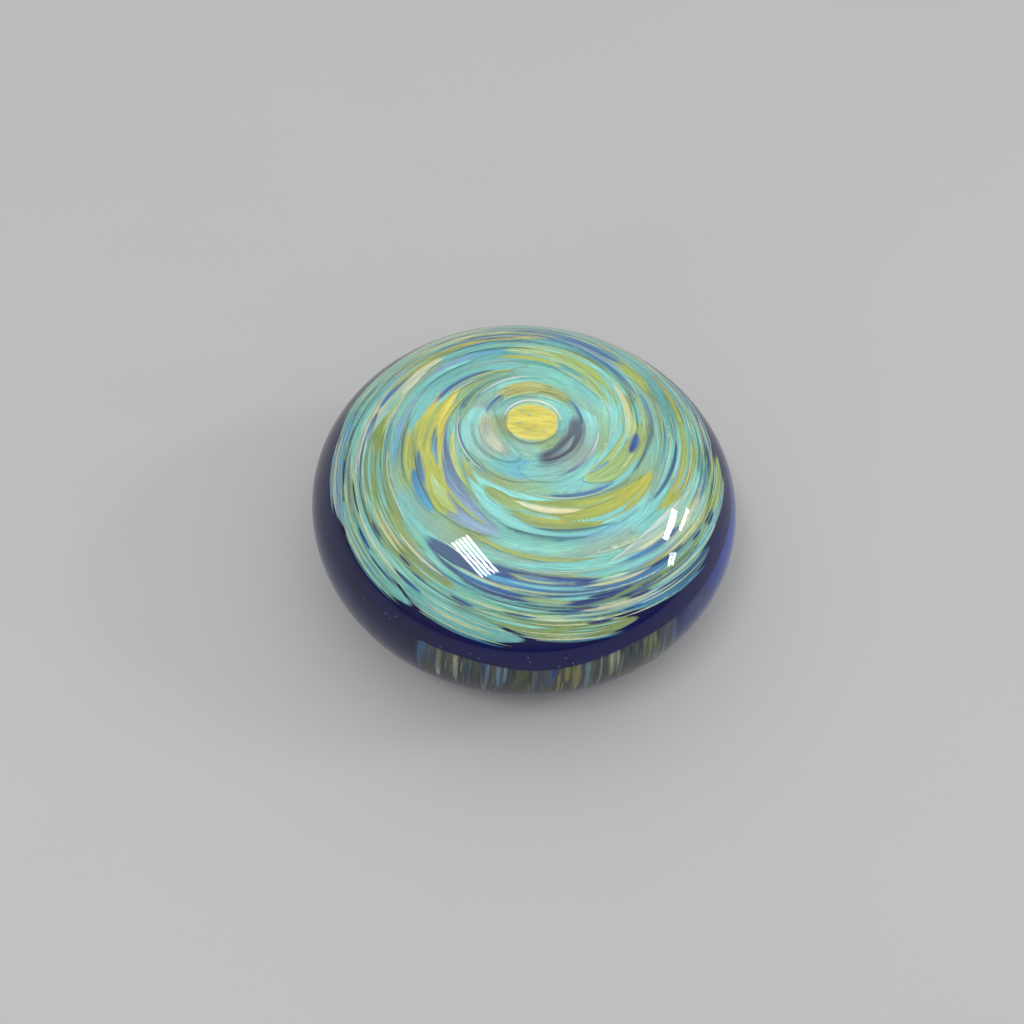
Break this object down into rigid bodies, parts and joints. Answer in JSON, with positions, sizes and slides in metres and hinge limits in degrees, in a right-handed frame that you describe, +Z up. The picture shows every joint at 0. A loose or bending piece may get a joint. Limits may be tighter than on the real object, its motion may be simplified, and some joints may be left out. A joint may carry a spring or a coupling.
{
  "type": "paperweight",
  "caption": "Round domed art-glass paperweight: a swirl of coloured glass trails over a cobalt ground, cased in clear glass with a flat ground base.",
  "frame": {"origin": "centre of the flat ground base, under the crown", "axes": "+Z up through the crown, -Y towards the front, +X to the right"},
  "size_m": [0.09, 0.09, 0.045],
  "materials": {
    "clear": "clear, polished",
    "cobalt": "dark opaque blue glass",
    "aqua": "pale opaque glass",
    "teal": "opaque glass",
    "blue": "opaque glass",
    "lime": "opaque glass",
    "olive": "opaque glass",
    "yellow": "opaque glass",
    "amber": "opaque glass",
    "cream": "opaque glass",
    "slate": "dark opaque glass"
  },
  "bodies": {
    "root": {"clear_casing": "clear", "clear_core": "clear", "cobalt_ground": "cobalt", "aqua_ground": "aqua", "olive_trail_1": "olive", "aqua_trail_1": "aqua", "lime_trail_1": "lime", "teal_trail_1": "teal", "yellow_trail_1": "yellow", "aqua_trail_2": "aqua", "blue_trail_1": "blue", "lime_trail_2": "lime", "aqua_trail_3": "aqua", "aqua_trail_4": "aqua", "lime_trail_3": "lime", "aqua_trail_5": "aqua", "lime_trail_4": "lime", "olive_trail_2": "olive", "aqua_trail_6": "aqua", "teal_trail_2": "teal", "cobalt_trail_1": "cobalt", "teal_trail_3": "teal", "cobalt_trail_2": "cobalt", "yellow_trail_2": "yellow", "olive_trail_3": "olive", "aqua_trail_7": "aqua", "cream_trail_1": "cream", "aqua_trail_8": "aqua", "cream_trail_2": "cream", "yellow_eye": "yellow", "cream_hook": "cream", "cobalt_chip_1": "cobalt", "cobalt_chip_2": "cobalt", "slate_crescent": "slate", "cream_patch": "cream", "amber_comma": "amber", "aqua_eye_ring": "aqua", "blue_streak_1": "blue", "aqua_streak_1": "aqua", "blue_streak_2": "blue", "cream_streak_1": "cream", "olive_streak_1": "olive", "amber_streak_1": "amber", "cream_streak_2": "cream", "olive_streak_2": "olive", "aqua_streak_2": "aqua", "teal_streak_1": "teal", "blue_streak_3": "blue", "teal_streak_2": "teal"}
  },
  "joints": []
}
